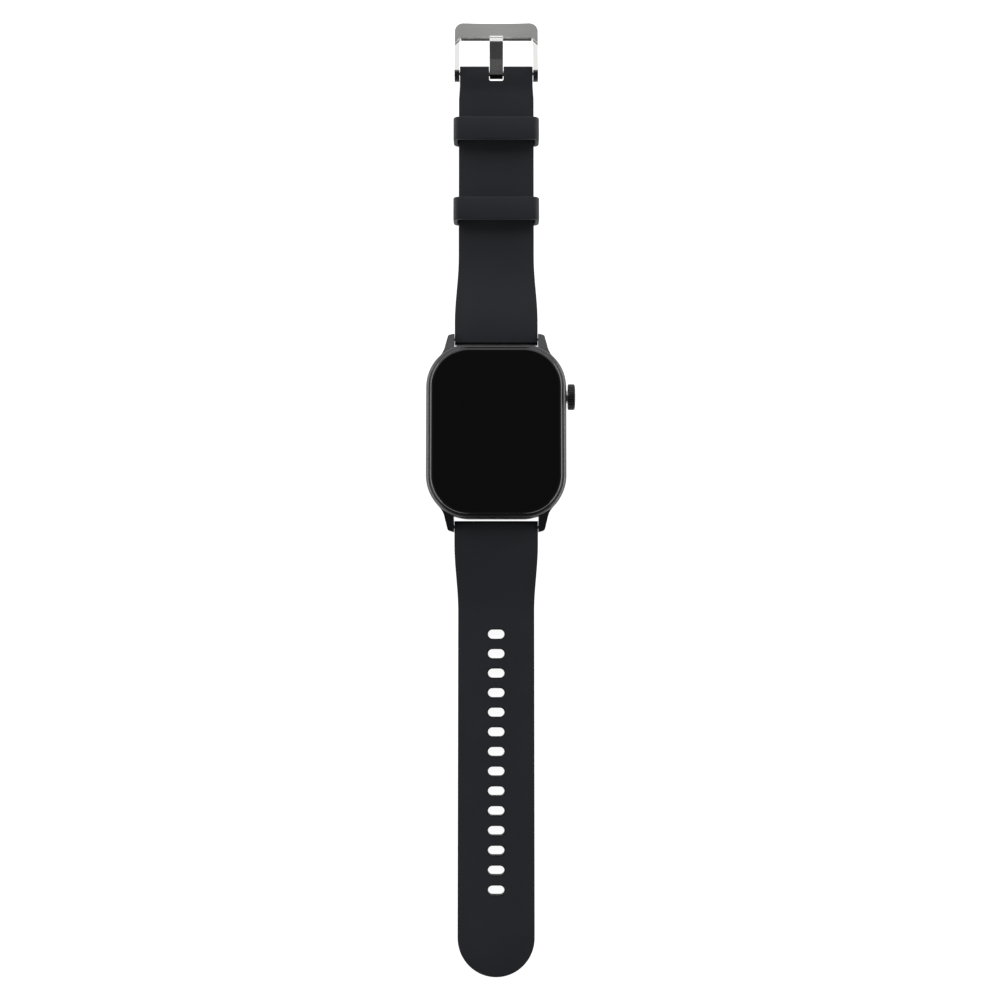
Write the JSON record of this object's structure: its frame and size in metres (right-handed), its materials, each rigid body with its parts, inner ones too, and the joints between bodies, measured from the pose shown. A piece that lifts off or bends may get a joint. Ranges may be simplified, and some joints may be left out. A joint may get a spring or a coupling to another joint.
{
  "type": "smartwatch",
  "caption": "Square-faced smartwatch laid open, with a rounded black glass face, side crown, punched silicone strap, sliding keepers and a pin buckle.",
  "frame": {"origin": "centre of the sensor window's outer face on the back of the case, which is the face the watch rests on", "axes": "+X towards 3 o'clock, where the crown is; +Y towards 12 o'clock and the buckle; +Z out of the display"},
  "size_m": [0.039, 0.2531, 0.0104],
  "materials": {
    "case_metal": "satin, dark grey anodised",
    "dark_glass": "gloss black",
    "silicone": "matte",
    "brushed_steel": "brushed",
    "polished_steel": "polished",
    "crown_metal": "satin, dark",
    "black_plastic": "matte",
    "circuit_board": "solder mask, semi-gloss",
    "chip_black": "moulded, matte",
    "tinned_steel": "satin",
    "gold_contact": "gold plated, smooth",
    "battery_foil": "satin pouch foil",
    "seal_rubber": "matte",
    "flex_film": "semi-gloss film",
    "heavy_alloy": "sintered, dull",
    "magnet_nickel": "nickel plated",
    "diode_clear": "clear moulding"
  },
  "bodies": {
    "case": {"case_frame": "case_metal", "cover_glass": "dark_glass", "glass_seal": "seal_rubber", "display_panel": "dark_glass", "display_cushion": "seal_rubber", "display_flex": "flex_film", "board_bracket": "black_plastic", "main_board": "circuit_board", "board_screws": "tinned_steel", "board_chips": "chip_black", "shield_can": "tinned_steel", "board_connectors": "black_plastic", "battery_cell": "battery_foil", "battery_lead": "flex_film", "motor_can": "tinned_steel", "speaker": "black_plastic", "speaker_mesh": "tinned_steel", "microphone": "tinned_steel", "crown_tube": "tinned_steel", "side_switch": "black_plastic", "switch_bracket": "tinned_steel", "switch_flex": "flex_film", "back_cover": "black_plastic", "back_seal": "seal_rubber", "back_screws": "brushed_steel", "sensor_window": "dark_glass", "sensor_board": "circuit_board", "sensor_diodes": "diode_clear", "light_baffle": "black_plastic", "charge_contacts": "gold_contact", "charge_magnets": "magnet_nickel"},
    "motor": {"motor_weight": "heavy_alloy"},
    "key": {"switch_plunger": "polished_steel"},
    "crown": {"crown_cap": "crown_metal", "crown_stem": "polished_steel", "crown_seal": "seal_rubber", "crown_clip": "tinned_steel"},
    "upper_1": {"strap_buckle_half_1": "silicone", "bar_tube_upper": "brushed_steel", "bar_fixed_tip_upper": "polished_steel", "bar_spring_upper": "tinned_steel"},
    "upper_release": {"bar_sliding_tip_upper": "polished_steel"},
    "upper_2": {"strap_buckle_half_2": "silicone"},
    "upper_3": {"strap_buckle_half_3": "silicone"},
    "keeper_a": {"keeper_near_buckle": "silicone"},
    "keeper_b": {"keeper_near_case": "silicone"},
    "buckle": {"buckle_frame": "brushed_steel", "buckle_bar": "polished_steel"},
    "tongue": {"buckle_tongue": "polished_steel"},
    "lower_1": {"strap_hole_half_1": "silicone", "bar_tube_lower": "brushed_steel", "bar_fixed_tip_lower": "polished_steel", "bar_spring_lower": "tinned_steel"},
    "lower_release": {"bar_sliding_tip_lower": "polished_steel"},
    "lower_2": {"strap_hole_half_2": "silicone"},
    "lower_3": {"strap_hole_half_3": "silicone"},
    "lower_4": {"strap_hole_half_4": "silicone"},
    "lower_5": {"strap_hole_half_5": "silicone"},
    "lower_6": {"strap_hole_half_6": "silicone"}
  },
  "joints": [
    {"name": "motor_spin", "type": "hinge", "parent": "case", "child": "motor", "pos_m": [-0.0069, 0.0144, 0.004], "axis": [0, 0, 1], "continuous": true},
    {"name": "crown_press", "type": "slide", "parent": "case", "child": "key", "axis": [-1, 0, 0], "range_m": [0, 0.00035], "stiffness_N_per_m": 4000},
    {"name": "crown_spin", "type": "hinge", "parent": "key", "child": "crown", "pos_m": [0.0196, 0.0093, 0.0054], "axis": [1, 0, 0], "continuous": true},
    {"name": "upper_swing", "type": "hinge", "parent": "case", "child": "upper_1", "pos_m": [0, 0.025, 0.0036], "axis": [-1, 0, 0], "range_deg": [-10, 60]},
    {"name": "upper_release_slide", "type": "slide", "parent": "upper_1", "child": "upper_release", "axis": [-1, 0, 0], "range_m": [0, 0.0011], "stiffness_N_per_m": 1500, "deforming": ["bar_spring_upper"]},
    {"name": "upper_bend_1", "type": "hinge", "parent": "upper_1", "child": "upper_2", "pos_m": [0, 0.037, 0.00157], "axis": [-1, 0, 0], "range_deg": [0, 22], "stiffness_Nm_per_rad": 0.0035},
    {"name": "upper_bend_2", "type": "hinge", "parent": "upper_2", "child": "upper_3", "pos_m": [0, 0.05, 0.00135], "axis": [-1, 0, 0], "range_deg": [0, 22], "stiffness_Nm_per_rad": 0.0035},
    {"name": "keeper_near_buckle_slide", "type": "slide", "parent": "upper_3", "child": "keeper_a", "axis": [0, 1, 0], "range_m": [-0.006, 0.005]},
    {"name": "keeper_near_case_slide", "type": "slide", "parent": "upper_3", "child": "keeper_b", "axis": [0, 1, 0], "range_m": [-0.003, 0.008]},
    {"name": "buckle_swing", "type": "hinge", "parent": "upper_3", "child": "buckle", "pos_m": [0, 0.0974, 0.00255], "axis": [1, 0, 0], "range_deg": [-30, 45]},
    {"name": "tongue_swing", "type": "hinge", "parent": "buckle", "child": "tongue", "pos_m": [0, 0.0974, 0.00255], "axis": [1, 0, 0], "range_deg": [0, 55]},
    {"name": "lower_swing", "type": "hinge", "parent": "case", "child": "lower_1", "pos_m": [0, -0.025, 0.0036], "axis": [1, 0, 0], "range_deg": [-10, 60]},
    {"name": "lower_release_slide", "type": "slide", "parent": "lower_1", "child": "lower_release", "axis": [-1, 0, 0], "range_m": [0, 0.0011], "stiffness_N_per_m": 1500, "deforming": ["bar_spring_lower"]},
    {"name": "lower_bend_1", "type": "hinge", "parent": "lower_1", "child": "lower_2", "pos_m": [0, -0.04535, 0.00012], "axis": [1, 0, 0], "range_deg": [0, 18], "stiffness_Nm_per_rad": 0.0035},
    {"name": "lower_bend_2", "type": "hinge", "parent": "lower_2", "child": "lower_3", "pos_m": [0, -0.06575, 0], "axis": [1, 0, 0], "range_deg": [0, 18], "stiffness_Nm_per_rad": 0.0035},
    {"name": "lower_bend_3", "type": "hinge", "parent": "lower_3", "child": "lower_4", "pos_m": [0, -0.08615, 0], "axis": [1, 0, 0], "range_deg": [0, 18], "stiffness_Nm_per_rad": 0.0035},
    {"name": "lower_bend_4", "type": "hinge", "parent": "lower_4", "child": "lower_5", "pos_m": [0, -0.10655, 0], "axis": [1, 0, 0], "range_deg": [0, 18], "stiffness_Nm_per_rad": 0.0035},
    {"name": "lower_bend_5", "type": "hinge", "parent": "lower_5", "child": "lower_6", "pos_m": [0, -0.12695, 0], "axis": [1, 0, 0], "range_deg": [0, 18], "stiffness_Nm_per_rad": 0.0035}
  ],
  "couplings": [
    {"joint": "upper_bend_2", "follows": "upper_bend_1", "ratio": 1},
    {"joint": "lower_bend_2", "follows": "lower_bend_1", "ratio": 1},
    {"joint": "lower_bend_3", "follows": "lower_bend_1", "ratio": 1},
    {"joint": "lower_bend_4", "follows": "lower_bend_1", "ratio": 1},
    {"joint": "lower_bend_5", "follows": "lower_bend_1", "ratio": 1}
  ]
}
